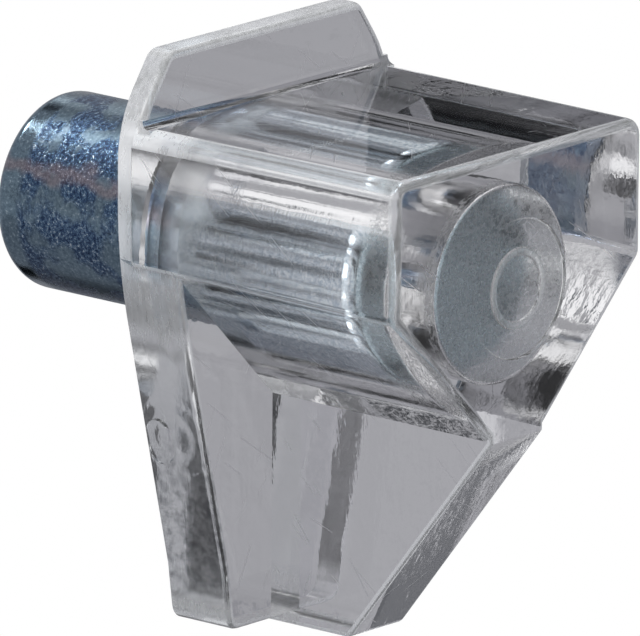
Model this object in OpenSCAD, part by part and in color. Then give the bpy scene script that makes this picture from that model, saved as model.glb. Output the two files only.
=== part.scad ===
// Shelf support: a plated steel pin held in a clear moulded bracket.
// The pin goes into a drilled hole in the cabinet side, and the shelf lies on the bracket's block.
// Origin: where the pin's axis meets the bracket's back face. +Y goes into the cabinet side,
// the block points along -Y, and +Z is up.

/* [Steel pin] */
// Diameter of the pin, which is that of the drilled hole
pin_d = 5; // [4:0.1:6]
// Length that stands out behind the bracket
pin_out = 6.1; // [4:0.1:12]
// Rounding on both ends of the pin
pin_end_r = 0.4; // [0.1:0.05:0.8]
// Width of the relief groove just inside the bracket's mouth
groove_w = 0.9; // [0.6:0.1:1.5]
// Depth of the relief groove
groove_depth = 0.22; // [0.18:0.02:0.5]

/* [Bore] */
// Plastic left between the blind end of the bore and the front face
front_wall = 1.3; // [0.8:0.1:2.5]
// Air space between the pin's inner end and the blind end of the bore
end_gap = 1; // [0.1:0.1:1.5]
// Lead-in chamfer at the bore's mouth
mouth_chamfer = 0.3; // [0.1:0.05:0.5]

/* [Block] */
// Distance from the back face to the front face
block_depth = 8.8; // [7:0.1:14]
// Plastic between the bore and the shelf seat
seat_wall = 0.95; // [0.6:0.05:2.5]
// How far the block stands proud of the plate's edge on each side
block_step = 0.03; // [0.01:0.01:0.1]
// Height of the shoulders, where the sides turn in, above the pin's axis
shoulder_z = 0.1; // [-0.5:0.1:0.5]
// Slope of the two faces under the block, from the horizontal
belly_angle = 45; // [40:1:50]
// Draft on the sides of the block, so that it leaves the mould
draft = 0.8; // [0:0.1:2]
// Rounding of the long top edges
top_edge_r = 0.45; // [0.15:0.05:0.5]
// Rounding of the shoulders
shoulder_r = 0.35; // [0.2:0.05:1]
// Rounding of the edges round the front face
front_edge_r = 0.24; // [0.05:0.01:0.25]

/* [Back plate] */
// Width of the plate at its widest
plate_w = 9.52; // [8:0.1:12]
// Thickness of the plate below the block
plate_t = 1.83; // [1.2:0.1:2.5]
// Height of the top of the tab above the shelf seat
tab_rise = 1.75; // [1:0.1:3]
// Thickness of the tab that stands behind the shelf
tab_t = 0.65; // [0.5:0.05:1.1]
// Width of the tab's top edge
tab_w = 7.2; // [5:0.1:8]
// Height of the flared corners below the tab, above the shelf seat
flare_rise = 0.1; // [0:0.1:0.5]
// Radius of the flared corners
flare_r = 3; // [1:0.5:4]
// Radius where the straight edges run into the taper
waist_r = 13; // [5:1:20]
// Depth of the plate's bottom edge below the pin's axis
plate_drop = 9.44; // [8:0.01:14]
// Width of the plate at the top of its tip
tip_w = 5.6; // [4:0.1:7]
// Height of the tip
tip_h = 1.5; // [1:0.1:2]
// Width of the plate's bottom edge
bottom_w = 5.16; // [3.6:0.1:6]
// Rounding of the tab's top corners and of the tip's bottom corners
corner_r = 0.45; // [0.1:0.05:0.6]
// Rounding of the plate's front edges
plate_edge_r = 0.18; // [0.05:0.01:0.3]
// Fillet between the tab and the shelf seat
tab_fillet_r = 0.22; // [0.05:0.01:0.4]

/* [Rib] */
// Thickness of the rib at the plate
rib_w = 2.1; // [1.4:0.1:3]
// Thickness of the rib at the front of the block
rib_front_w = 2; // [1.2:0.1:2.4]
// How far the rib's foot stands in front of the plate
rib_foot = 2.5; // [1:0.1:4]
// Rounding of the foot's front corner
foot_r = 0.3; // [0.15:0.05:0.6]
// Rounding of the rib's long edges
rib_edge_r = 0.12; // [0.05:0.01:0.15]

/* [Moulding marks] */
// Diameter of the round mark on the front face
mark_d = 3.55; // [2:0.05:4]
// Depth of the round mark
mark_depth = 0.06; // [0.02:0.01:0.15]
// Diameter of the raised ring inside the mark
mark_ring_d = 2; // [1:0.1:2.6]
// Width of the raised ring
mark_ring_w = 0.16; // [0.1:0.02:0.3]
// Height of the gate stub on the plate's narrow edge
gate_h = 1.2; // [0.8:0.1:1.6]
// Width of the gate stub
gate_w = 0.7; // [0.4:0.05:0.9]
// How far the gate stub stands out
gate_proud = 0.1; // [0.05:0.01:0.2]
// Distance of the gate stub below the pin's axis
gate_drop = 4.6; // [3:0.1:6]

/* [Hidden] */
$fn = 96;
pin_r = pin_d / 2;
bore_depth = block_depth - front_wall;
pin_in = bore_depth - end_gap;
seat_z = pin_r + seat_wall;
tab_z = seat_z + tab_rise;
block_w = plate_w + 2 * block_step;
flare_z = seat_z + flare_rise;
// Half width and height of the block's underside, which the rib hides
keel_x = rib_front_w / 2 - 0.05;
keel_z = shoulder_z - (block_w / 2 - keel_x) * tan(belly_angle);
rib_foot_y = plate_t + rib_foot;
// Lean of the plate's tapered edges from the vertical
taper_angle = atan((plate_w - tip_w) / 2 / (shoulder_z + plate_drop - tip_h));
// Overlap that lets joined shapes run into each other
bite = 0.4;
// The straight stretch of the plate's edge is shared by the waist below, the flare above
// and the overlap of the web and the tab between them.
straight = flare_z - shoulder_z;
tab_lean = atan((plate_w - tab_w) / 2 / (tab_z - flare_z));
waist_fit_r = min(waist_r, 0.5 * straight / tan(taper_angle / 2));
flare_fit_r = min(flare_r, 0.35 * straight / tan(tab_lean / 2));
web_top = shoulder_z + 0.62 * straight;
tab_low = shoulder_z + 0.54 * straight;
// Reach of the web down inside the tip
web_drop = plate_drop - tip_h / 2;
// Reach of the tip up into the web
tip_reach = 2 * tip_h;
// Number of flats in a rounded corner, and across a rounded edge
arc_steps = 6;
edge_steps = 4;

// The sliver between the sharp corner p and its rounding of radius r.
// a and b are the neighbouring corners.
module corner_sliver(a, p, b, r) {
    u = (a - p) / norm(a - p);
    v = (b - p) / norm(b - p);
    half = acos(u * v) / 2;
    middle = (u + v) / norm(u + v);
    centre = p + middle * r / sin(half);
    reach = r / tan(half);
    over = 1.2;
    difference() {
        polygon([
            centre,
            centre + (p + u * reach - centre) * over,
            centre + (p - centre) * over,
            centre + (p + v * reach - centre) * over
        ]);
        translate(centre) circle(r);
    }
}

// A polygon with each corner rounded by its own radius, where 0 leaves it sharp.
module rounded_polygon(points, radii) {
    n = len(points);
    difference() {
        polygon(points);
        for (i = [0 : n - 1])
            if (radii[i] > 0)
                corner_sliver(points[(i + n - 1) % n], points[i], points[(i + 1) % n], radii[i]);
    }
}

// Turns a drawing of depth (in front of the back face) and Z upright, width wide about x = 0.
module from_the_side(width) {
    rotate([90, 0, -90])
        linear_extrude(width, center = true) children();
}

module pin_outline() {
    rounded_polygon(
        [[0, -pin_in], [pin_r, -pin_in], [pin_r, pin_out], [0, pin_out]],
        [0, pin_end_r, pin_end_r, 0]
    );
}

module steel_pin() {
    color("slategray")
        rotate([-90, 0, 0])
            rotate_extrude()
                difference() {
                    pin_outline();
                    translate([pin_r - groove_depth, -groove_w]) square([1, groove_w]);
                }
}

// The points of one rounded corner, drawn inset from the edges a-p and p-b.
// The rounding keeps its centre as the inset grows, so its radius shrinks. A radius of 0 stays one point.
function soft_corner(a, p, b, r, inset) =
    let(
        u = (a - p) / norm(a - p),
        v = (b - p) / norm(b - p),
        half = acos(u * v) / 2,
        inward = (u + v) / norm(u + v) / sin(half),
        swing = 90 - half,
        out = -inward / norm(inward),
        turn = cross(u, v) > 0 ? -1 : 1
    )
    r == 0
        ? [p + inward * inset]
        : [
            for (k = [0 : arc_steps])
                let(w = turn * swing * (2 * k / arc_steps - 1))
                p + inward * r + (r - inset) * [out[0] * cos(w) - out[1] * sin(w), out[0] * sin(w) + out[1] * cos(w)]
        ];

// A closed outline with each corner rounded by its own radius, drawn inset from its edges.
function soft_outline(points, radii, inset) =
    let(n = len(points))
    [
        for (i = [0 : n - 1])
            each soft_corner(points[(i + n - 1) % n], points[i], points[(i + 1) % n], radii[i], inset)
    ];

// Insets and setbacks of the slices that round an edge of radius r, from the side face to the front face.
function edge_slices(r) = [for (k = [0 : edge_steps]) let(w = 90 * k / edge_steps) [r * (1 - cos(w)), r * (1 - sin(w))]];

// Joins rings that have the same number of points into one closed solid.
module loft(rings) {
    n = len(rings[0]);
    last = (len(rings) - 1) * n;
    sides = [
        for (row = [0 : n : last - n])
            for (i = [0 : n - 1])
                let(j = (i + 1) % n)
                each [[row + i, row + n + j, row + j], [row + i, row + n + i, row + n + j]]
    ];
    start = [for (i = [1 : n - 2]) [0, i, i + 1]];
    finish = [for (i = [1 : n - 2]) [last, last + i + 1, last + i]];
    polyhedron([for (ring = rings) each ring], concat(start, sides, finish));
}

// A slab from the depth back to the depth front, whose front face has a rounded edge all round.
// It has its own outline at the back and at the front, each a list of corners in X and Z.
module soft_slab(back, front, edge_r, back_points, front_points, radii) {
    loft(concat(
        [[for (p = soft_outline(back_points, radii, 0)) [p[0], -back, p[1]]]],
        [
            for (s = edge_slices(edge_r))
                [for (p = soft_outline(front_points, radii, s[0])) [p[0], s[1] - front, p[1]]]
        ]
    ));
}

// Adds the left half to the right half of an outline that runs up the right side.
function both_sides(right) = concat(right, [for (i = [len(right) - 1 : -1 : 0]) [-right[i][0], right[i][1]]]);
function both_ways(list) = concat(list, [for (i = [len(list) - 1 : -1 : 0]) list[i]]);

// The thin tab stands behind the shelf. Its sides reach down behind the block.
module tab() {
    outline = both_sides([[plate_w / 2, tab_low], [plate_w / 2, flare_z], [tab_w / 2, tab_z]]);
    soft_slab(0, tab_t, plate_edge_r, outline, outline, both_ways([0, flare_fit_r, corner_r]));
}

// The thick part of the plate, below the block. Its tapered edges run on inside the tip.
module web() {
    low_x = plate_w / 2 - (shoulder_z + web_drop) * tan(taper_angle);
    outline = both_sides([[low_x, -web_drop], [plate_w / 2, shoulder_z], [plate_w / 2, web_top]]);
    soft_slab(0, plate_t, plate_edge_r, outline, outline, both_ways([0, waist_fit_r, 0]));
}

// The tip leans in less than the web does. Its edges run up inside the web.
module tip() {
    top_x = bottom_w / 2 + (tip_w - bottom_w) / 2 / tip_h * tip_reach;
    outline = both_sides([[bottom_w / 2, -plate_drop], [top_x, tip_reach - plate_drop]]);
    soft_slab(0, plate_t, plate_edge_r, outline, outline, both_ways([corner_r, 0]));
}

// Corners of the block seen from the front: a flat seat, straight sides, and two sloping faces down to the rib.
function block_corners(width) =
    both_sides([
        [keel_x, keel_z],
        [width / 2, keel_z + (width / 2 - keel_x) * tan(belly_angle)],
        [width / 2, seat_z]
    ]);

// The block narrows towards its front face, so that it leaves the mould.
module block() {
    back = tab_t - bite / 2;
    front_w = block_w - 2 * (block_depth - back) * tan(draft);
    radii = both_ways([0, shoulder_r, top_edge_r]);
    soft_slab(back, block_depth, front_edge_r, block_corners(block_w), block_corners(front_w), radii);
}

module tab_fillet() {
    length = plate_w - 0.3;
    translate([0, -tab_t, seat_z])
        from_the_side(length)
            difference() {
                translate([-bite / 4, -bite / 4]) square(tab_fillet_r + bite / 4);
                translate([tab_fillet_r, tab_fillet_r]) circle(tab_fillet_r);
            }
}

// The rib's front edge runs back from the block to the foot. The rib gets thinner towards its front.
module rib() {
    corners = [
        [bite, -plate_drop],
        [rib_foot_y, -plate_drop],
        [block_depth, keel_z],
        [block_depth, keel_z + bite],
        [bite, keel_z + bite]
    ];
    radii = [0, foot_r, 0, 0, 0];
    slope = (rib_w - rib_front_w) / 2 / block_depth;
    slices = edge_slices(rib_edge_r);
    function side(s, sign) =
        [
            for (p = soft_outline(corners, radii, s[0]))
                [sign * (rib_w / 2 - s[1] - slope * p[0]), -p[0], p[1]]
        ];
    loft(concat(
        [for (k = [edge_steps : -1 : 0]) side(slices[k], 1)],
        [for (k = [0 : edge_steps]) side(slices[k], -1)]
    ));
}

module bore() {
    rotate([90, 0, 0]) cylinder(r = pin_r, h = bore_depth);
    translate([0, bite, 0])
        rotate([90, 0, 0])
            cylinder(r1 = pin_r + mouth_chamfer + bite, r2 = pin_r, h = mouth_chamfer + bite);
}

// The round mark on the front face: a shallow recess that holds a plain raised ring.
module front_mark() {
    difference() {
        cylinder(d = mark_d, h = 1);
        difference() {
            cylinder(d = mark_ring_d, h = mark_depth / 2);
            cylinder(d = mark_ring_d - 2 * mark_ring_w, h = mark_depth / 2);
        }
    }
}

// The stub that is left where the plastic was fed in, on the left tapered edge.
module gate_stub() {
    edge_x = plate_w / 2 - (shoulder_z + gate_drop) * tan(taper_angle);
    translate([-edge_x, -gate_w / 2 - 0.12, -gate_drop])
        rotate([0, -90 - taper_angle, 0])
            translate([0, 0, -bite])
                linear_extrude(gate_proud + bite) {
                    square([gate_h - gate_w, gate_w], center = true);
                    for (side = [-1, 1])
                        translate([side * (gate_h - gate_w) / 2, 0]) circle(d = gate_w);
                }
}

module clear_bracket() {
    color("gainsboro", 0.5)
        difference() {
            union() {
                tab();
                web();
                tip();
                block();
                rib();
                tab_fillet();
                gate_stub();
            }
            bore();
            translate([0, -block_depth + mark_depth, 0]) rotate([90, 0, 0]) front_mark();
        }
}

steel_pin();
clear_bracket();
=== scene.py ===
# %% [markdown]
# # A shelf support in Blender: a plated steel pin in a clear moulded bracket
#
# The real part is small: a 5 mm steel pin, plated with zinc, sits in a block of clear
# polycarbonate. The pin goes into a drilled hole in the side of a cabinet, and the shelf
# lies on the block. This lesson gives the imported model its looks. The clear plastic is most
# of the work, because it shows everything that is inside it and behind it.
#
# The model arrives at its real size, in metres, with +Z up. The back face of the bracket is
# the plane y = 0, the pin points along +Y, and the block points along -Y.

import math

import bmesh
import bpy
from mathutils import Matrix, Vector


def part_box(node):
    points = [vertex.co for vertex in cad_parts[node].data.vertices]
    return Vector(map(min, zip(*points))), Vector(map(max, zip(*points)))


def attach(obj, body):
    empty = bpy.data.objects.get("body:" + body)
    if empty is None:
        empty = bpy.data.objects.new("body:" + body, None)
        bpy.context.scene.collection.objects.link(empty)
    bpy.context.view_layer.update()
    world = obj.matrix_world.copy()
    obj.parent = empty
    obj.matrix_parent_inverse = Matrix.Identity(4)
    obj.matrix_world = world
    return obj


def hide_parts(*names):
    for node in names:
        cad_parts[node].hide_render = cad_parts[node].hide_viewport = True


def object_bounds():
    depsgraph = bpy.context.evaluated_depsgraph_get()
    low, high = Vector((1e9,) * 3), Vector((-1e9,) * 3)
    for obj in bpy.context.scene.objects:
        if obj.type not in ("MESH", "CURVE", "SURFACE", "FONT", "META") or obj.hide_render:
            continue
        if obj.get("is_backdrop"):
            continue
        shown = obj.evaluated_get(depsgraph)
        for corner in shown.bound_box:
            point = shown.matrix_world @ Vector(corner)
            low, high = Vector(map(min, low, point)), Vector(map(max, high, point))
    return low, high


MM = 0.001

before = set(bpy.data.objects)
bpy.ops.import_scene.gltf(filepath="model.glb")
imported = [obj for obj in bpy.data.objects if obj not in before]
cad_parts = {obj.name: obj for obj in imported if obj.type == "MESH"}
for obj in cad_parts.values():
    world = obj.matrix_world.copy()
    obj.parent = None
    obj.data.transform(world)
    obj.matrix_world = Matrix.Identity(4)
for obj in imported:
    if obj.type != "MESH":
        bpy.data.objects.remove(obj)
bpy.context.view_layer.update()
scene = bpy.context.scene
print("pieces:", sorted(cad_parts))

# %% [markdown]
# ## Sizes
#
# The sizes come from the model, so that nothing here has to be fitted by eye. The pin's box
# gives its radius and its two ends. The bracket's box gives the front face and the foot.

# %% Read the sizes off the model
pin_low, pin_high = (Vector(corner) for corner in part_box("steel_pin"))
body_low, body_high = (Vector(corner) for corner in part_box("clear_bracket"))
pin_radius = pin_high.x
front_y = body_low.y
print(f"pin: {pin_radius / MM:.2f} mm radius, from {pin_low.y / MM:.2f} to {pin_high.y / MM:.2f} mm")
print(f"bracket: z {body_low.z / MM:.2f} to {body_high.z / MM:.2f} mm, front face at {front_y / MM:.2f} mm")

# %% [markdown]
# ## A few small helpers
#
# Colours are written as the hex values that a paint chart gives. The shaders want linear
# light, so one function does that step. Another one adds a node, sets its values and joins
# its inputs, which keeps each material short enough to read. A finish often fades in between
# two places on the part, so a third one writes down where it starts and where it is full.


# %% Helpers for colours and nodes
def linear(hex_colour):
    """An sRGB hex colour as the linear RGBA that a shader socket takes."""
    values = [int(hex_colour[i : i + 2], 16) / 255 for i in (1, 3, 5)]
    return [v / 12.92 if v <= 0.04045 else ((v + 0.055) / 1.055) ** 2.4 for v in values] + [1.0]


def add(tree, kind, settings=None, **inputs):
    """Adds a node.

    settings are its properties, and stops are a colour ramp's positions and hex colours. inputs are
    values, sockets, or nodes whose first output is used. Their names have _ for a space, or i and a number.
    """
    node = tree.nodes.new(kind)
    for name, value in (settings or {}).items():
        if name != "stops":
            setattr(node, name, value)
            continue
        for _ in value[2:]:
            node.color_ramp.elements.new(0.5)
        for element, (position, colour) in zip(node.color_ramp.elements, value):
            element.position = position
            element.color = linear(colour)
    for name, value in inputs.items():
        key = int(name[1:]) if name[0] == "i" and name[1:].isdigit() else name.replace("_", " ")
        if isinstance(value, bpy.types.Node):
            value = value.outputs[0]
        if isinstance(value, bpy.types.NodeSocket):
            tree.links.new(value, node.inputs[key])
        else:
            node.inputs[key].default_value = value
    return node


def span(start, full):
    """Where a finish starts and where it is full, given in millimetres, as inputs of a Map Range node."""
    return {"From_Min": start * MM, "From_Max": full * MM}


def new_material(name):
    """An empty material, its tree and its output node."""
    material = bpy.data.materials.new(name)
    material.use_nodes = True
    material.node_tree.nodes.clear()
    output = material.node_tree.nodes.new("ShaderNodeOutputMaterial")
    return material, material.node_tree, output


print("a mid grey in linear light:", round(linear("#808080")[0], 3))

# %% [markdown]
# ## The camera
#
# A part this small is seen best through a long lens, from a little above and to the left of
# its front, where pin, tab and block all show. The view could be set by hand in the viewport.
# Here it is written down as two angles and a distance, how far the camera is rolled, and how
# wide a field it takes in, so that it can be set up again on a bench.

# %% Place the camera
AZIMUTH = math.radians(49.631)
ELEVATION = math.radians(14.574)
ROLL = math.radians(0.479)
DISTANCE = 500 * MM
FIELD = 15.727134 * MM
AIM_RIGHT, AIM_UP = 1.851 * MM, -2.206 * MM
SENSOR = 36

to_camera = Vector(
    (
        -math.cos(ELEVATION) * math.sin(AZIMUTH),
        -math.cos(ELEVATION) * math.cos(AZIMUTH),
        math.sin(ELEVATION),
    )
)
level_right = Vector((math.cos(AZIMUTH), -math.sin(AZIMUTH), 0))
level_up = to_camera.cross(level_right)
right = math.cos(ROLL) * level_right + math.sin(ROLL) * level_up
up = -math.sin(ROLL) * level_right + math.cos(ROLL) * level_up
place = right * AIM_RIGHT + up * AIM_UP + to_camera * DISTANCE

camera_data = bpy.data.cameras.new("camera")
camera_data.sensor_width = SENSOR
camera_data.lens = SENSOR * DISTANCE / FIELD
camera_data.clip_start, camera_data.clip_end = 0.01, 10
camera = bpy.data.objects.new("camera", camera_data)
camera.matrix_world = Matrix(
    (
        (right.x, up.x, to_camera.x, place.x),
        (right.y, up.y, to_camera.y, place.y),
        (right.z, up.z, to_camera.z, place.z),
        (0, 0, 0, 1),
    )
)
scene.collection.objects.link(camera)
scene.camera = camera
print(f"camera: {camera_data.lens:.0f} mm lens, {FIELD / MM:.1f} mm field")

# %% [markdown]
# ## Zinc-plated steel
#
# The pin is turned from steel and barrel-plated with bright zinc, which has a blue cast.
# Tumbling in the barrel leaves small dents and lighter flecks of a tenth of a millimetre, so
# the metal looks mottled: some patches stay dark navy and others are a calmer slate. A
# straw-coloured stain runs along the side. The half that was pressed into the plastic is
# burnished pale and bright, and its end was faced flat, which leaves it duller.
#
# All this could be painted on an image and wrapped round the pin, but an image has a seam and
# only one fineness. Rules have neither. One fine noise draws the flecks and one coarse noise
# draws the patches. Masks that follow the pin's length and height then say which colours lie
# where, so each finish can be changed by itself. The same noises drive roughness and relief.

# %% Draw the flecks, the patches and the places of the finishes
GRAIN = 0.09 * MM
PATCH = 0.9 * MM
STRAW_HEIGHT, STRAW_SWAY = 1.0 * MM, 1.0 * MM

zinc, tree, output = new_material("zinc_plated_steel")
coords = add(tree, "ShaderNodeTexCoord").outputs["Object"]
axes = add(tree, "ShaderNodeSeparateXYZ", Vector=coords).outputs
fleck = add(tree, "ShaderNodeTexNoise", Vector=coords, Scale=1 / GRAIN, Detail=5.0, Roughness=0.8)
patch = add(tree, "ShaderNodeTexNoise", Vector=coords, Scale=1 / PATCH, Detail=3.0)
still = add(tree, "ShaderNodeMapRange", Value=patch, From_Min=0.46, From_Max=0.58)
# The rounded nose is worn smooth, so it is calm all round.
nose = add(tree, "ShaderNodeMapRange", Value=axes["Y"], **span(5.15, 5.35))
still = add(tree, "ShaderNodeMath", {"operation": "MAXIMUM"}, i0=still, i1=nose)
# The stain keeps its height, apart from a slow sway.
level = add(tree, "ShaderNodeMath", {"operation": "MULTIPLY_ADD"}, i0=patch, i1=STRAW_SWAY, i2=axes["Z"])
level = add(tree, "ShaderNodeMath", {"operation": "SUBTRACT"}, i0=level, i1=STRAW_HEIGHT + STRAW_SWAY / 2)
level = add(tree, "ShaderNodeMath", {"operation": "ABSOLUTE"}, i0=level)
stain = add(tree, "ShaderNodeMapRange", Value=level, **span(0.25, 0.05), To_Max=0.7)
pressed = add(tree, "ShaderNodeMapRange", Value=axes["Y"], **span(-0.1, -0.7))
end = add(tree, "ShaderNodeMapRange", Value=axes["Y"], **span(-6.3, -6.45))
print(f"flecks of {GRAIN / MM:.2f} mm in patches of {PATCH / MM:.1f} mm")

# %% Lay the colours over each other
navy = ((0.34, "#1c2840"), (0.46, "#3a5174"), (0.57, "#6c89a5"), (0.68, "#e4edf3"))
calm = ((0.34, "#5b7080"), (0.6, "#8ba1b0"), (0.66, "#cbd9e1"))
straw = ((0.34, "#7b7078"), (0.66, "#b5a9ae"))
burnished = ((0.34, "#b2c2cf"), (0.62, "#f3f8fb"))
faced = ((0.34, "#6e818b"), (0.62, "#ccdae0"))
colour = add(tree, "ShaderNodeValToRGB", {"stops": navy}, Fac=fleck).outputs["Color"]
for share, stops in ((still, calm), (stain, straw), (pressed, burnished), (end, faced)):
    coat = add(tree, "ShaderNodeValToRGB", {"stops": stops}, Fac=fleck)
    colour = add(tree, "ShaderNodeMix", {"data_type": "RGBA"}, i0=share, i6=colour, i7=coat).outputs[2]
print("five finishes on the pin")

# %% Set how smooth each finish is, and join the shader
rough = add(tree, "ShaderNodeMapRange", Value=patch, To_Min=0.18, To_Max=0.36)
for share, least in ((pressed, 0.5), (nose, 0.45)):
    smooth = add(tree, "ShaderNodeMapRange", Value=share, To_Min=1.0, To_Max=least)
    rough = add(tree, "ShaderNodeMath", {"operation": "MULTIPLY"}, i0=rough, i1=smooth)
pitted = add(tree, "ShaderNodeMapRange", Value=still, To_Min=0.6, To_Max=0.12)
pitted = add(tree, "ShaderNodeMapRange", Value=pressed, To_Min=pitted, To_Max=0.1)
relief = add(tree, "ShaderNodeBump", Height=fleck, Strength=pitted, Distance=0.02 * MM)
steel = add(
    tree,
    "ShaderNodeBsdfPrincipled",
    Base_Color=colour,
    Metallic=1.0,
    Roughness=rough,
    Normal=relief,
)
tree.links.new(steel.outputs["BSDF"], output.inputs["Surface"])
print("made", zinc.name)

# %% [markdown]
# ## Clear polycarbonate
#
# The bracket is injection-moulded polycarbonate, the clear plastic with a high index of
# refraction, 1.585. A polished steel mould gave its outside a smooth gloss, but never an
# optical one: the faces are very slightly wavy, and the waves bend what is seen inside the
# part. Handling adds a few hair scratches. The seat is the flattest face, because the mould
# was polished best there. The right flank, below the shoulder where it turns in, was drawn
# along the mould as it left it, so it is scuffed, and so are the two flanks of the rib.
#
# All of this could be modelled, but it is only a few micrometres high. So the shape stays
# plain, and one height map collects the waves, the scratches and the scuffs for one Bump node.


# %% Draw hair scratches
def scratches(tree, coords, across, spacing, width):
    """Sparse straight lines, 1 on a line and 0 beside it. They follow each other along across."""
    BEND, SWAY, LEVEL, ZONE = 4 * MM, 0.4, 0.6, 1.5 * MM
    step = Vector(across).normalized() / spacing
    bend = add(tree, "ShaderNodeTexNoise", Vector=coords, Scale=1 / BEND, Detail=0.0)
    along = add(tree, "ShaderNodeVectorMath", {"operation": "DOT_PRODUCT"}, i0=coords, i1=step)
    along = along.outputs["Value"]
    along = add(tree, "ShaderNodeMath", {"operation": "MULTIPLY_ADD"}, i0=bend, i1=SWAY, i2=along)
    field = add(tree, "ShaderNodeTexNoise", {"noise_dimensions": "1D"}, W=along, Scale=1.0, Detail=0.0)
    off = add(tree, "ShaderNodeMath", {"operation": "SUBTRACT"}, i0=field, i1=LEVEL)
    off = add(tree, "ShaderNodeMath", {"operation": "ABSOLUTE"}, i0=off)
    line = add(tree, "ShaderNodeMapRange", Value=off, From_Min=width, From_Max=0.0)
    zone = add(tree, "ShaderNodeTexNoise", Vector=coords, Scale=1 / ZONE, Detail=1.0)
    zone = add(tree, "ShaderNodeMapRange", Value=zone, From_Min=0.56, From_Max=0.6)
    return add(tree, "ShaderNodeMath", {"operation": "MULTIPLY"}, i0=line, i1=zone)


IOR = 1.585
WAVE = 0.7 * MM
clear, tree, output = new_material("clear_polycarbonate")
coords = add(tree, "ShaderNodeTexCoord").outputs["Object"]
axes = add(tree, "ShaderNodeSeparateXYZ", Vector=coords).outputs
wave = add(tree, "ShaderNodeTexNoise", Vector=coords, Scale=1 / WAVE, Detail=3.0)
first = scratches(tree, coords, (0.5, -0.6, 0.7), 0.9 * MM, 0.008)
second = scratches(tree, coords, (0.8, 0.5, -0.4), 1.3 * MM, 0.006)
hair = add(tree, "ShaderNodeMath", {"operation": "MAXIMUM"}, i0=first, i1=second)
height = add(tree, "ShaderNodeMath", {"operation": "MULTIPLY_ADD"}, i0=hair, i1=-0.1, i2=wave)
print(f"waves of {WAVE / MM:.1f} mm and two sets of scratches")

# %% Scuff the right flank and the flanks of the rib
side = add(tree, "ShaderNodeMapRange", Value=axes["X"], **span(3.6, 4.4), To_Max=1.2)
below = add(tree, "ShaderNodeMapRange", Value=axes["Z"], **span(0.2, 0.0))
side = add(tree, "ShaderNodeMath", {"operation": "MULTIPLY"}, i0=side, i1=below)
lean = add(tree, "ShaderNodeMath", {"operation": "ABSOLUTE"}, i0=axes["X"])
lean = add(tree, "ShaderNodeMapRange", Value=lean, **span(1.6, 1.4))
low = add(tree, "ShaderNodeMapRange", Value=axes["Z"], **span(-2.8, -3.2), To_Max=0.6)
flank = add(tree, "ShaderNodeMath", {"operation": "MULTIPLY"}, i0=lean, i1=low)
# The marks on the right flank lean with the draw of the mould; those on the rib run up and down.
leaning = {"Rotation": (0.9, 0, 0), "Scale": (2.5 / MM, 1.0 / MM, 6 / MM)}
upright = {"Scale": (5 / MM, 5 / MM, 1.25 / MM)}
for share, stretch, grain in ((side, leaning, 0.5), (flank, upright, 0.6)):
    drawn = add(tree, "ShaderNodeMapping", Vector=coords, **stretch)
    marks = add(tree, "ShaderNodeTexNoise", Vector=drawn, Scale=1.0, Detail=3.0, Roughness=grain)
    height = add(tree, "ShaderNodeMath", {"operation": "MULTIPLY_ADD"}, i0=marks, i1=share, i2=height)
print("scuffed the right flank and the rib")

# %% Calm the seat and the foot, and join the shader
seat = add(tree, "ShaderNodeMapRange", Value=axes["Z"], **span(3.0, 3.3), To_Min=1.0, To_Max=0.3)
foot = add(tree, "ShaderNodeMapRange", Value=axes["Z"], **span(-7.5, -5), To_Min=0.25, To_Max=1.0)
polish = add(tree, "ShaderNodeMath", {"operation": "MULTIPLY"}, i0=seat, i1=foot)
relief = add(tree, "ShaderNodeBump", Height=height, Strength=polish, Distance=0.01 * MM)
matt = add(tree, "ShaderNodeMapRange", Value=hair, To_Min=0.02, To_Max=0.5)
matt = add(tree, "ShaderNodeMath", {"operation": "MULTIPLY_ADD"}, i0=side, i1=0.12, i2=matt)
plastic = add(
    tree,
    "ShaderNodeBsdfPrincipled",
    Base_Color=linear("#f8f8fa"),
    Roughness=matt,
    IOR=IOR,
    Transmission_Weight=1.0,
    Normal=relief,
)
tree.links.new(plastic.outputs["BSDF"], output.inputs["Surface"])
print("made", clear.name)

# %% [markdown]
# The bore was formed by a ground steel core. Its grinding lines run round the bore and leave
# the wall slightly frosted, so what lies behind it is softened. The core's end was only
# turned, so the blind end of the bore is matt and mottled. At the mouth the core met the
# mould plate, and the wall is rougher again. Pushing the pin in drew faint lines along the
# wall. As modelled grooves these lines would take many thousand faces. They are drawn by
# noises instead, each stretched the way the tool went.

# %% Make the plastic of the bore's wall
LINE = 0.06 * MM
MOTTLE = 0.15 * MM
bore_clear, tree, output = new_material("clear_polycarbonate_bore")
coords = add(tree, "ShaderNodeTexCoord").outputs["Object"]
depth = add(tree, "ShaderNodeSeparateXYZ", Vector=coords).outputs["Y"]
round_it = add(tree, "ShaderNodeMapping", Vector=coords, Scale=(0.25 / MM, 1 / LINE, 0.25 / MM))
lines = add(tree, "ShaderNodeTexNoise", Vector=round_it, Scale=1.0, Detail=2.0)
relief = add(tree, "ShaderNodeBump", Height=lines, Strength=0.25, Distance=0.01 * MM)
along_it = add(tree, "ShaderNodeMapping", Vector=coords, Rotation=(0, 0.7, 0), Scale=(0.8 / MM, 0, 12 / MM))
hatch = add(tree, "ShaderNodeTexNoise", Vector=along_it, Scale=1.0, Detail=3.0)
relief = add(tree, "ShaderNodeBump", Height=hatch, Strength=1.0, Distance=0.006 * MM, Normal=relief)
print(f"grinding lines {LINE / MM:.2f} mm apart")

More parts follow.
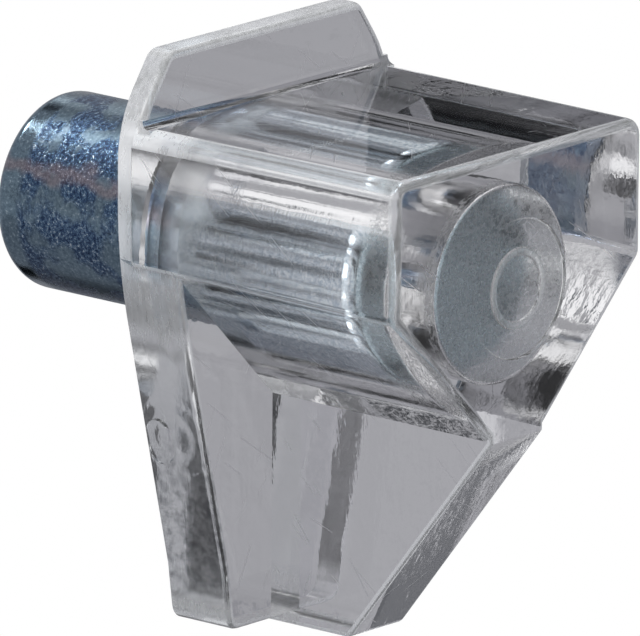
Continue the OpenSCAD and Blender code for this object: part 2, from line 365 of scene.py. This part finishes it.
# %% Make its blind end and its mouth matt, and join the shader
mottle = add(tree, "ShaderNodeTexNoise", Vector=coords, Scale=1 / MOTTLE, Detail=4.0, Roughness=0.7)
mottle = add(tree, "ShaderNodeMapRange", Value=mottle, From_Min=0.4, From_Max=0.6, To_Min=0.14, To_Max=0.42)
matt = add(tree, "ShaderNodeMapRange", Value=depth, **span(-6.4, -6.8), To_Min=0.08, To_Max=mottle)
mouth = add(tree, "ShaderNodeMapRange", Value=depth, **span(-1.9, -1.3), To_Max=0.25)
matt = add(tree, "ShaderNodeMath", {"operation": "MAXIMUM"}, i0=matt, i1=mouth)
wall = add(
    tree,
    "ShaderNodeBsdfPrincipled",
    Base_Color=linear("#f6f8f9"),
    Roughness=matt,
    IOR=IOR,
    Transmission_Weight=1.0,
    Normal=relief,
)
tree.links.new(wall.outputs["BSDF"], output.inputs["Surface"])
print("made", bore_clear.name)

# %% [markdown]
# The rim of the plate and all the rounded edges rubbed against other parts in the bag. They
# are finely scratched, so they scatter the light and look silvery white. The wear isn't the
# same everywhere: it is strong on the upper half of the rim, a little less so on the tab and
# weak below. It comes back on the bottom corners and on the front edge of the rib. Low on the
# left edge the scuffs are tinted a dark, mottled navy. At the upper end of that tint the
# plastic flowed in through the gate, and left ripples round it.
#
# The wear could be painted by hand, but it would have to be painted again after each change of
# shape. Here one number for the wear, from 0 to 1, is put together from masks along the three
# axes. It drives the roughness and how much light is scattered instead of let through.

# %% Map the wear
SCUFF_ACROSS, SCUFF_ALONG = 0.12 * MM, 0.7 * MM
frosted, tree, output = new_material("clear_polycarbonate_rubbed")
coords = add(tree, "ShaderNodeTexCoord").outputs["Object"]
axes = add(tree, "ShaderNodeSeparateXYZ", Vector=coords).outputs
stretch = (1 / SCUFF_ACROSS, 1 / SCUFF_ACROSS, 1 / SCUFF_ALONG)
drawn = add(tree, "ShaderNodeMapping", Vector=coords, Scale=stretch)
scuff = add(tree, "ShaderNodeTexNoise", Vector=drawn, Scale=1.0, Detail=4.0, Roughness=0.6)
wear = add(tree, "ShaderNodeMapRange", Value=axes["Z"], **span(-3.6, 0.6), To_Min=0.2)
rim = add(tree, "ShaderNodeMapRange", Value=axes["Y"], **span(-2.4, -1.8), To_Min=0.4)
wear = add(tree, "ShaderNodeMath", {"operation": "MULTIPLY"}, i0=wear, i1=rim)
below = add(tree, "ShaderNodeMapRange", Value=axes["Z"], **span(-2.5, -3.5))
front = add(tree, "ShaderNodeMapRange", Value=axes["Y"], **span(-2.8, -3.2), To_Max=0.7)
rib_edge = add(tree, "ShaderNodeMath", {"operation": "MULTIPLY"}, i0=below, i1=front)
corner = add(tree, "ShaderNodeMapRange", Value=axes["Z"], **span(-8.3, -8.9), To_Max=0.6)
for extra in (rib_edge, corner):
    wear = add(tree, "ShaderNodeMath", {"operation": "MAXIMUM"}, i0=wear, i1=extra)
tab = add(tree, "ShaderNodeMapRange", Value=axes["Z"], **span(3.4, 3.9), To_Min=1.0, To_Max=0.75)
wear = add(tree, "ShaderNodeMath", {"operation": "MULTIPLY"}, i0=wear, i1=tab)
print(f"scuffs {SCUFF_ACROSS / MM:.2f} mm wide and {SCUFF_ALONG / MM:.1f} mm long")

# %% Turn the wear into roughness and haze, and tint the scuffs low on the left a mottled navy
matt = add(tree, "ShaderNodeMapRange", Value=scuff, From_Min=0.35, From_Max=0.65, To_Min=0.25, To_Max=0.42)
matt = add(tree, "ShaderNodeMath", {"operation": "MULTIPLY"}, i0=matt, i1=wear)
haze = add(tree, "ShaderNodeMapRange", Value=scuff, From_Min=0.3, From_Max=0.7, To_Min=0.38, To_Max=0.56)
haze = add(tree, "ShaderNodeMath", {"operation": "MULTIPLY"}, i0=haze, i1=wear)
clearness = add(tree, "ShaderNodeMapRange", Value=haze, To_Min=1.0, To_Max=0.0)

SPECK = 0.3 * MM
specks = add(tree, "ShaderNodeTexNoise", Vector=coords, Scale=1 / SPECK, Detail=5.0, Roughness=0.75)
# The scuffs low on the left edge are tinted a mottled dark navy.
dark_mottle = add(tree, "ShaderNodeMapRange", Value=specks, From_Min=0.42, From_Max=0.6, To_Max=0.75)
for axis, start, full in (("Z", -3.6, -5.6), ("Z", -8.8, -8.2), ("X", -1.8, -2.2)):
    place = add(tree, "ShaderNodeMapRange", Value=axes[axis], **span(start, full))
    dark_mottle = add(tree, "ShaderNodeMath", {"operation": "MULTIPLY"}, i0=dark_mottle, i1=place)
tint = add(tree, "ShaderNodeMix", {"data_type": "RGBA"}, i0=dark_mottle, i6=linear("#f6f8fa"), i7=linear("#28323f"))
print(f"dirt in specks of {SPECK / MM:.1f} mm")

# %% Ripple the plastic round the gate, and join the shader
GATE = Vector((-4.3, -0.9, -4.6)) * MM
RIPPLE = 0.36 * MM
away = add(tree, "ShaderNodeVectorMath", {"operation": "DISTANCE"}, i0=coords, i1=GATE).outputs["Value"]
ripples = add(tree, "ShaderNodeMath", {"operation": "MULTIPLY"}, i0=away, i1=2 * math.pi / RIPPLE)
ripples = add(tree, "ShaderNodeMath", {"operation": "SINE"}, i0=ripples)
near = add(tree, "ShaderNodeMapRange", Value=away, **span(1.6, 0.5), To_Max=0.6)
ripples = add(tree, "ShaderNodeMath", {"operation": "MULTIPLY"}, i0=ripples, i1=near)
relief = add(tree, "ShaderNodeBump", Height=ripples, Strength=1.0, Distance=0.02 * MM)
grit = add(tree, "ShaderNodeMapRange", Value=wear, To_Min=0.25, To_Max=0.1)
relief = add(tree, "ShaderNodeBump", Height=scuff, Strength=grit, Distance=0.01 * MM, Normal=relief)
rubbed = add(
    tree,
    "ShaderNodeBsdfPrincipled",
    Base_Color=tint.outputs[2],
    Roughness=matt,
    IOR=IOR,
    Transmission_Weight=clearness,
    Normal=relief,
)
tree.links.new(rubbed.outputs["BSDF"], output.inputs["Surface"])
print("made", frosted.name)

# %% [markdown]
# ## The pin
#
# The real pin is turned from rod: straight, with rounded ends and a shallow groove where it
# enters the plastic. It could be a cylinder with its edges bevelled. Here it is made the way
# the lathe makes it: one outline, spun about the axis. Then the roundings and the groove are
# only points of the outline, and the number of steps round the pin can be changed at any time.
# The outline is worked out from the sizes, and a small node tree spins it.

# %% Build the node tree that turns an outline
PIN_SEGMENTS = 96
SPINDLE = 10 * MM
WELD = 0.001 * MM


def turning_tree():
    """A node tree that spins its mesh, an outline drawn as radius and height, about the Y axis."""
    tree = bpy.data.node_groups.new("turned_piece", "GeometryNodeTree")
    panel = tree.interface
    panel.new_socket("Outline", in_out="INPUT", socket_type="NodeSocketGeometry")
    panel.new_socket("Segments", in_out="INPUT", socket_type="NodeSocketInt").default_value = PIN_SEGMENTS
    panel.new_socket("Spindle", in_out="INPUT", socket_type="NodeSocketFloat").default_value = SPINDLE
    panel.new_socket("Weld", in_out="INPUT", socket_type="NodeSocketFloat").default_value = WELD
    panel.new_socket("Material", in_out="INPUT", socket_type="NodeSocketMaterial")
    panel.new_socket("Geometry", in_out="OUTPUT", socket_type="NodeSocketGeometry")
    start = tree.nodes.new("NodeGroupInput").outputs
    steps, reach = start["Segments"], start["Spindle"]
    path = add(tree, "GeometryNodeCurvePrimitiveCircle", Resolution=steps, Radius=reach)
    chain = add(tree, "GeometryNodeMeshToCurve", Mesh=start["Outline"])
    skin = add(tree, "GeometryNodeCurveToMesh", Curve=path, Profile_Curve=chain)
    weld = add(tree, "GeometryNodeMergeByDistance", Geometry=skin, Distance=start["Weld"])
    lay = add(tree, "GeometryNodeTransform", Geometry=weld, Rotation=(math.pi / 2, 0, 0))
    real = add(tree, "GeometryNodeRealizeInstances", Geometry=lay)
    finish = add(tree, "GeometryNodeSetMaterial", Geometry=real, Material=start["Material"])
    end = tree.nodes.new("NodeGroupOutput")
    tree.links.new(finish.outputs["Geometry"], end.inputs["Geometry"])
    return tree


turning_nodes = turning_tree()
print("node tree with", len(turning_nodes.nodes), "nodes")

# %% Draw the pin's outline
# The pin is drawn a hair thinner than its bore, so that light has a thin gap of air to cross.
GAP = 0.02 * MM
END_ROUNDING = 0.4 * MM
GROOVE_WIDTH = 0.9 * MM
GROOVE_DEPTH = 0.22 * MM


def arc(centre_r, centre_y, radius, start, stop, steps=8):
    """Points of an arc in the outline, from one angle to another, in degrees."""
    angles = [math.radians(start + (stop - start) * k / steps) for k in range(steps + 1)]
    return [(centre_r + radius * math.cos(a), centre_y + radius * math.sin(a)) for a in angles]


radius = pin_radius - GAP
core = radius - GROOVE_DEPTH
outline = (
    [(0.0, pin_low.y)]
    + arc(radius - END_ROUNDING, pin_low.y + END_ROUNDING, END_ROUNDING, -90, 0)
    + [(radius, -GROOVE_WIDTH), (core, -GROOVE_WIDTH), (core, 0.0), (radius, 0.0)]
    + arc(radius - END_ROUNDING, pin_high.y - END_ROUNDING, END_ROUNDING, 0, 90)
    + [(0.0, pin_high.y)]
)
print("pin outline:", len(outline), "points")

# %% Turn the pin
profile = bpy.data.meshes.new("pin_profile")
# The outline is carried round on a circle, the spindle, so it is drawn that far in and lands on the axis.
points = [(r - SPINDLE, y, 0.0) for r, y in outline]
profile.from_pydata(points, [(i, i + 1) for i in range(len(points) - 1)], [])
pin = bpy.data.objects.new("turned_pin", profile)
scene.collection.objects.link(pin)
turning = pin.modifiers.new("turning", "NODES")
turning.node_group = turning_nodes
sockets = {s.name: s.identifier for s in turning_nodes.interface.items_tree if s.in_out == "INPUT"}
turning[sockets["Segments"]] = PIN_SEGMENTS
turning[sockets["Material"]] = zinc
pin_mesh = bpy.data.meshes.new_from_object(pin.evaluated_get(bpy.context.evaluated_depsgraph_get()))
pin.modifiers.clear()
pin.data = pin_mesh
print("pin:", len(pin_mesh.polygons), "faces")

# %% Close the pin's skin and hand the pin over
DOUBLES = 0.0005 * MM
EMPTY = 0.0001 * MM
SHARP_ANGLE = math.radians(40)


def close_and_face_out(mesh):
    """Welds doubles, drops the empty faces at the poles and points every face outwards."""
    work = bmesh.new()
    work.from_mesh(mesh)
    bmesh.ops.remove_doubles(work, verts=work.verts, dist=DOUBLES)
    bmesh.ops.dissolve_degenerate(work, edges=work.edges, dist=EMPTY)
    bmesh.ops.recalc_face_normals(work, faces=work.faces)
    open_edges = sum(not e.is_manifold for e in work.edges)
    volume = work.calc_volume(signed=True) / MM**3
    work.to_mesh(mesh)
    work.free()
    return open_edges, volume


open_edges, volume = close_and_face_out(pin_mesh)
pin_mesh.shade_smooth()
pin_mesh.set_sharp_from_angle(angle=SHARP_ANGLE)
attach(pin, "root")
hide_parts("steel_pin")
print(f"pin: {open_edges} open edges, {volume:.2f} mm3")

# %% [markdown]
# ## The bracket
#
# The real bracket is one moulding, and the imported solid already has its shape. But a clear
# part shows the flats of a coarse bore as facets of light. The whole bracket could be made
# again with finer steps, and then two descriptions of one shape would have to agree. So the
# outside is kept, and only the round parts are made again: the bore with its chamfered mouth,
# and the round mark on the front face.

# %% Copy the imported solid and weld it
cad_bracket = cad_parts["clear_bracket"]
work = bmesh.new()
work.from_mesh(cad_bracket.data)
work.transform(cad_bracket.matrix_world)
bmesh.ops.remove_doubles(work, verts=work.verts, dist=DOUBLES)
print("bracket:", len(work.faces), "faces,", sum(not e.is_manifold for e in work.edges), "open edges")

# %% Cut away the coarse bore, the back face round it and the front face
BORE_CHAMFER = 0.3 * MM
BORE_RADIUS = pin_radius
BORE_END = -7.5 * MM
MARK_RADIUS = 1.775 * MM
MARK_DEPTH = 0.06 * MM
TOUCH = 0.002 * MM


def is_bore(face):
    """All of the face is on the bore, on its chamfer or on its blind end."""
    reach = BORE_RADIUS + BORE_CHAMFER + 2 * TOUCH
    return all(math.hypot(v.co.x, v.co.z) < reach and v.co.y > BORE_END - TOUCH for v in face.verts)


def is_flat_at(face, y):
    """All of the face lies in the plane at that depth."""
    return all(abs(v.co.y - y) < TOUCH for v in face.verts)


def is_mark(face):
    """All of the face is inside the round mark."""
    inside = all(math.hypot(v.co.x, v.co.z) < MARK_RADIUS + 2 * TOUCH for v in face.verts)
    return inside and all(v.co.y < front_y + MARK_DEPTH + TOUCH for v in face.verts)


gone = [f for f in work.faces if is_bore(f) or is_mark(f) or is_flat_at(f, 0.0) or is_flat_at(f, front_y)]
bmesh.ops.delete(work, geom=gone, context="FACES")
rims = [e for e in work.edges if e.is_boundary]
print("cut away:", len(gone), "faces, leaving", len(rims), "rim edges")

# %% [markdown]
# In the mould, the bore and the mark are shaped by turned pieces of steel. So both are made
# from an outline again. A modifier could spin it, as it does for the pin. But here each band
# has its own plastic, and the rings have to share their points with the faces that close the
# holes. So they are drawn ring by ring into the open solid.

# %% Say how an outline is spun into the solid
BORE_SEGMENTS = 144
CLEAR, WALL, RUBBED = 0, 1, 2


def ring(radius, y):
    """A ring of points about the pin's axis."""
    angles = [2 * math.pi * k / BORE_SEGMENTS for k in range(BORE_SEGMENTS)]
    return [work.verts.new((radius * math.cos(a), y, radius * math.sin(a))) for a in angles]


def band(first, second, slot):
    """Joins two rings with faces."""
    for k in range(BORE_SEGMENTS):
        j = (k + 1) % BORE_SEGMENTS
        work.faces.new((first[k], first[j], second[j], second[k])).material_index = slot


def spin(profile, slot, rubbed=()):
    """Joins the rings of a profile of radius and depth, and closes the last. Gives the first ring's edges."""
    rings = [ring(radius, y) for radius, y in profile]
    for k, (first, second) in enumerate(zip(rings, rings[1:])):
        band(first, second, RUBBED if k in rubbed else slot)
    work.faces.new(rings[-1]).material_index = slot
    return [work.edges.get((a, b)) for a, b in zip(rings[0], rings[0][1:] + rings[0][:1])]


print(f"one step round the bore is {2 * math.pi * BORE_RADIUS / BORE_SEGMENTS / MM:.2f} mm")

# %% Spin the bore
END_FILLET = 0.12 * MM
FILLET_STEPS = 4
bore_profile = [
    (BORE_RADIUS + BORE_CHAMFER, 0.0),
    (BORE_RADIUS, -BORE_CHAMFER),
    (BORE_RADIUS, BORE_END + END_FILLET),
]
for k in range(1, FILLET_STEPS + 1):
    turn = math.pi / 2 * k / FILLET_STEPS
    inwards, onwards = END_FILLET * (1 - math.cos(turn)), END_FILLET * (1 - math.sin(turn))
    bore_profile.append((BORE_RADIUS - inwards, BORE_END + onwards))
bore_rim = spin(bore_profile, WALL)
print("rings in the bore:", len(bore_profile))

# %% Spin the round mark with its raised ring
RING_RADIUS = 1.0 * MM
RING_WIDTH = 0.16 * MM
RING_HEIGHT = MARK_DEPTH * 0.8
SOFT = 0.03 * MM
floor_y = front_y + MARK_DEPTH
crest_y = floor_y - RING_HEIGHT
ring_inside = RING_RADIUS - RING_WIDTH
mark_profile = [
    (MARK_RADIUS, front_y),
    (MARK_RADIUS - SOFT, floor_y - SOFT / 2),
    (MARK_RADIUS - 2 * SOFT, floor_y),
    (RING_RADIUS + SOFT, floor_y),
    (RING_RADIUS, crest_y + SOFT / 4),
    (RING_RADIUS - SOFT, crest_y),
    (ring_inside + SOFT, crest_y),
    (ring_inside, crest_y + SOFT / 4),
    (ring_inside - SOFT, floor_y),
]
# Bands 0 and 1 are the mark's edge and bands 3 to 7 are the raised ring. The floor stays clear.
mark_rim = spin(mark_profile, CLEAR, rubbed=(0, 1, 3, 4, 5, 6, 7))
print("rings in the mark:", len(mark_profile))

# %% Fill the two flat faces again between their outlines and the new rims
old_rims = [e for e in rims if e.is_valid and e.is_boundary]
back_rim = [e for e in old_rims if all(abs(v.co.y) < TOUCH for v in e.verts)]
front_rim = [e for e in old_rims if all(abs(v.co.y - front_y) < TOUCH for v in e.verts)]
print("rim edges:", len(old_rims), "back", len(back_rim), "front", len(front_rim))
bmesh.ops.triangle_fill(work, use_beauty=True, edges=back_rim + bore_rim)
bmesh.ops.triangle_fill(work, use_beauty=True, edges=front_rim + mark_rim)
bmesh.ops.triangulate(work, faces=[f for f in work.faces if len(f.verts) > 4])
bmesh.ops.recalc_face_normals(work, faces=work.faces)
print("bracket:", len(work.faces), "faces,", sum(not e.is_manifold for e in work.edges), "open edges")
print(f"volume {work.calc_volume(signed=True) / MM**3:.2f} mm3")

# %% Make the bracket's object
bracket_mesh = bpy.data.meshes.new("moulded_bracket")
work.to_mesh(bracket_mesh)
work.free()
bracket = bpy.data.objects.new("moulded_bracket", bracket_mesh)
scene.collection.objects.link(bracket)
for plastic in (clear, bore_clear, frosted):
    bracket_mesh.materials.append(plastic)
bracket_mesh.shade_smooth()
print("bracket:", len(bracket_mesh.vertices), "points")

# %% [markdown]
# ## Normals for a clear part
#
# Light bends wherever the shading normal turns, so a flat face of clear plastic has to be
# exactly flat, or the view through it swims. Smooth shading alone would bend the flat faces
# near their edges, and flat shading would show every step of the rounded edges. So the flat
# faces give their own normal to every corner that touches them, and only the small rounded
# edges blend from one face to the next.

# %% Find the flat faces
FLAT_AREA = 1.2 * MM**2
FLAT_ANGLE = math.radians(0.4)
SQUARE_TO_AXIS = 0.99
FRONT_SKIN = 0.005 * MM


def is_round(face):
    """The face is on the bore or in the mark, which are spun and not flat."""
    middle = face.calc_center_median()
    spun = math.hypot(middle.x, middle.z) < BORE_RADIUS + BORE_CHAMFER
    return spun and abs(face.normal.y) < SQUARE_TO_AXIS and front_y + FRONT_SKIN < middle.y < -TOUCH


def flat_patches(work):
    """Numbers the patches of faces in one plane. Gives each face's patch, and each large patch's normal."""
    patch_of, normal_of = {}, {}
    for seed in work.faces:
        if seed in patch_of:
            continue
        number, todo, area = len(normal_of), [seed], 0.0
        patch_of[seed] = number
        while todo:
            face = todo.pop()
            area += face.calc_area()
            for other in (f for edge in face.edges for f in edge.link_faces):
                if other not in patch_of and other.normal.angle(seed.normal, 0.0) < FLAT_ANGLE:
                    patch_of[other] = number
                    todo.append(other)
        normal_of[number] = seed.normal.copy() if area > FLAT_AREA and not is_round(seed) else None
    return patch_of, normal_of


work = bmesh.new()
work.from_mesh(bracket_mesh)
work.normal_update()
work.faces.index_update()
patch_of, normal_of = flat_patches(work)
flat_of = {face: normal_of[number] for face, number in patch_of.items()}
print("flat patches:", sum(normal is not None for normal in normal_of.values()))

# %% [markdown]
# In a bag of parts, what stands out gets rubbed: the rim of the plate and the rounded edges.
# The fillet at the foot of the tab stays clear, because nothing reaches into it. So does the
# shoulder on the flank, a bend so slight that it hardly stands out. The faces could be picked
# by hand in the viewport. They are picked by where they lie and where they face instead,
# which still holds when the shape changes.

# %% Put the rubbed plastic on the rim and on the rounded edges
PLATE = 1.83 * MM
SEAT = 3.45 * MM
TAB = 0.65 * MM
TAB_FILLET = 0.3 * MM
SHOULDER = 0.2 * MM
EDGEWISE, SIDEWAYS = 0.3, 0.9


def is_rubbed(face):
    """The face is on the rim of the plate, or on a rounded edge outside the bore and the mark."""
    middle = face.calc_center_median()
    on_rim = -PLATE < middle.y < 0 and abs(face.normal.y) < EDGEWISE
    in_bore = math.hypot(middle.x, middle.z) < BORE_RADIUS + BORE_CHAMFER + TOUCH
    on_shoulder = 0 < middle.z < SHOULDER and abs(face.normal.x) > SIDEWAYS
    in_fillet = SEAT - TOUCH < middle.z < SEAT + TAB_FILLET and -TAB - TAB_FILLET < middle.y < -TAB + TOUCH
    return not in_bore and not on_shoulder and not in_fillet and (on_rim or flat_of[face] is None)


rubbed_faces = [face.index for face in work.faces if is_rubbed(face)]
for index in rubbed_faces:
    bracket_mesh.polygons[index].material_index = RUBBED
print("rubbed faces:", len(rubbed_faces))

# %% Give every corner its normal and hand the bracket over
BLEND_ANGLE = math.radians(38)


def corner_normal(loop):
    """A flat face's own normal, or that of the flat face nearest in angle, or a blend of those round it."""
    face = loop.face
    if flat_of[face] is not None:
        return flat_of[face]
    near = [f for f in loop.vert.link_faces if f.normal.angle(face.normal, 0.0) < BLEND_ANGLE]
    flat = [flat_of[f] for f in near if flat_of[f] is not None]
    if flat:
        return min(flat, key=lambda n: n.angle(face.normal, 0.0))
    total = Vector((0, 0, 0))
    for f in near:
        corner = next(c for c in f.loops if c.vert == loop.vert)
        total += f.normal * corner.calc_angle()
    return total.normalized()


normals = [corner_normal(loop) for face in work.faces for loop in face.loops]
work.free()
bracket_mesh.normals_split_custom_set(normals)
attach(bracket, "root")
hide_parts("clear_bracket")
print("corner normals:", len(normals))

# %% [markdown]
# ## The studio
#
# A clear part has hardly any colour of its own: it shows what stands round it. A painted room
# could light it, but then nothing in the plastic could be moved by itself. So the part stands
# in a small tent of plain cards, as clear products do. The six sides are grey, nearly white in
# front, and the one below is close and darker, which draws the lower edges. Smaller white cards
# make the glints, and black and dark flags make the dark lines inside the plastic. The camera
# sees none of them: it sees plain white.

# %% Make the world: white where it is seen, grey where it only gives light
world = bpy.data.worlds.new("studio")
scene.world = world
world.use_nodes = True
tree = world.node_tree
tree.nodes.clear()
rays = add(tree, "ShaderNodeLightPath").outputs
seen = rays["Is Camera Ray"]
for ray in ("Is Glossy Ray", "Is Transmission Ray"):
    seen = add(tree, "ShaderNodeMath", {"operation": "MAXIMUM"}, i0=seen, i1=rays[ray])
grey = add(tree, "ShaderNodeBackground", Color=linear("#969696"), Strength=1.0)
white = add(tree, "ShaderNodeBackground", Color=linear("#ffffff"), Strength=1.0)
pick = add(tree, "ShaderNodeMixShader", i0=seen, i1=grey, i2=white)
add(tree, "ShaderNodeOutputWorld", Surface=pick)
print("world:", world.name)


# %% Say how a card is made
def towards(azimuth, elevation):
    """The direction at that azimuth and elevation in degrees. 0 is +X, 90 is +Y, behind the part."""
    a, e = math.radians(azimuth), math.radians(elevation)
    return Vector((math.cos(a) * math.cos(e), math.sin(a) * math.cos(e), math.sin(e)))


def card(name, azimuth, elevation, distance, width, height, colour):
    """A flat card that faces the part. Clear plastic and metal show it, the camera doesn't."""
    material, tree, output = new_material(name)
    glow = add(tree, "ShaderNodeEmission", Color=linear(colour), Strength=1.0)
    tree.links.new(glow.outputs[0], output.inputs["Surface"])
    out = towards(azimuth, elevation)
    # A card straight above or below has no level direction of its own, so it takes +X.
    across = Vector((0, 0, 1)).cross(out).normalized() if abs(elevation) < 89 else Vector((1, 0, 0))
    right, up = across * width / 2, out.cross(across) * height / 2
    middle = out * distance
    corners = [middle + right * i + up * j for i, j in ((-1, -1), (1, -1), (1, 1), (-1, 1))]
    mesh = bpy.data.meshes.new(name)
    mesh.from_pydata(corners, [], [(0, 1, 2, 3)])
    mesh.materials.append(material)
    obj = bpy.data.objects.new(name, mesh)
    scene.collection.objects.link(obj)
    obj.visible_camera = False
    obj.visible_shadow = False
    obj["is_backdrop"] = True


print("behind the part:", [round(c, 3) for c in towards(90, 0)])

# %% Put up the tent
ROOM = 400 * MM
WIDE = 2 * ROOM
CARDS = (
    # name, azimuth, elevation, distance, width, height, colour
    ("card_right", 0, 0, ROOM, WIDE, WIDE, "#a2a2a6"),
    ("card_back", 90, 0, ROOM, WIDE, WIDE, "#adadb1"),
    ("card_left", 180, 0, ROOM, WIDE, WIDE, "#cfcfd2"),
    ("card_front", -90, 0, ROOM, WIDE, WIDE, "#f4f5f6"),
    ("card_above", 0, 90, ROOM, WIDE, WIDE, "#a6a6a9"),
    ("card_below", 0, -90, 55 * MM, 250 * MM, 250 * MM, "#909095"),
    ("white_card_left", 182, 22, 300 * MM, 230 * MM, 330 * MM, "#ffffff"),
    ("white_card_top", -120, 80, 300 * MM, 480 * MM, 480 * MM, "#ffffff"),
    ("white_card_back", 97, 57, 300 * MM, 130 * MM, 80 * MM, "#ffffff"),
    ("dark_flag_top", 106, 54, 288 * MM, 24 * MM, 70 * MM, "#4c5056"),
    ("white_card_high", 42, 30, 300 * MM, 100 * MM, 70 * MM, "#ffffff"),
    ("white_card_right", -21, 27, 300 * MM, 90 * MM, 60 * MM, "#ffffff"),
    ("black_flag_below", 67, -45, 60 * MM, 24 * MM, 16 * MM, "#101113"),
    ("black_flag_back", 28.5, 15, 61 * MM, 18 * MM, 16 * MM, "#1a1b1d"),
    ("black_flag_high", 61, 39, 300 * MM, 50 * MM, 50 * MM, "#3a3c3f"),
    ("black_flag_left", 142, 1, 290 * MM, 52 * MM, 84 * MM, "#101113"),
    ("dark_flag_left", 145, 21, 300 * MM, 80 * MM, 90 * MM, "#55575b"),
    ("dark_flag_front", -44, -3, 300 * MM, 130 * MM, 100 * MM, "#1c1d20"),
    ("dark_flag_right", -22, 1, 300 * MM, 150 * MM, 80 * MM, "#3c3e42"),
)
for row in CARDS:
    card(*row)
print("cards:", len(CARDS))

# %% [markdown]
# The cards are what the plastic and the metal show, and three soft lamps add light to them. The
# large one overhead lights the scuffs and the floor evenly. It isn't mirrored, or it would burn
# out the top of the pin. The one on the left brightens that side. The small one behind gives
# the highlight on the pin's nose, and it isn't seen through the plastic.


# %% Make the lamps
def softbox(name, azimuth, elevation, distance, side, power, mirrored=True, through=True):
    """A square lamp that faces the part. Mirror images and views through the plastic can leave it out."""
    data = bpy.data.lights.new(name, "AREA")
    data.size = side
    data.energy = power
    lamp = bpy.data.objects.new(name, data)
    out = towards(azimuth, elevation)
    lamp.location = out * distance
    lamp.rotation_euler = out.to_track_quat("Z", "Y").to_euler()
    lamp.visible_glossy = mirrored
    lamp.visible_transmission = through
    scene.collection.objects.link(lamp)


softbox("left_softbox", 175, 35, 280 * MM, 120 * MM, 0.12)
softbox("back_softbox", 90, 39, 280 * MM, 36 * MM, 0.075, through=False)
softbox("overhead_softbox", 90, 80, 450 * MM, 300 * MM, 1.4, mirrored=False, through=False)
print("lamps:", len(bpy.data.lights))

# %% [markdown]
# The floor is a pale disc some way below the part. It sends soft light back up, and it is far
# enough down that no hard shadow shows.

# %% Make the floor
FLOOR_DROP = 60 * MM
FLOOR_RADIUS = 130 * MM
FLOOR_SIDES = 64
angles = [math.radians(360 * k / FLOOR_SIDES) for k in range(FLOOR_SIDES)]
corners = [(FLOOR_RADIUS * math.cos(a), FLOOR_RADIUS * math.sin(a), -FLOOR_DROP) for a in angles]
floor_mesh = bpy.data.meshes.new("floor")
floor_mesh.from_pydata(corners, [], [tuple(range(FLOOR_SIDES))])
floor = bpy.data.objects.new("floor", floor_mesh)
scene.collection.objects.link(floor)
paint, tree, output = new_material("pale_floor_paint")
pale = add(tree, "ShaderNodeBsdfPrincipled", Base_Color=linear("#e9e9e9"), Roughness=0.8)
tree.links.new(pale.outputs[0], output.inputs["Surface"])
floor_mesh.materials.append(paint)
floor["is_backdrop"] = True
print("made", paint.name)

# %% [markdown]
# ## Last steps
#
# The Standard view keeps the colours as they are written above. The box of the finished model
# is printed, to set beside the sizes read off the imported one.

# %% Colours as they are, then the box of the finished model
scene.view_settings.view_transform = "Standard"
low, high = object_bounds()
print("visual box:", [tuple(round(c / MM, 3) for c in corner) for corner in (low, high)])
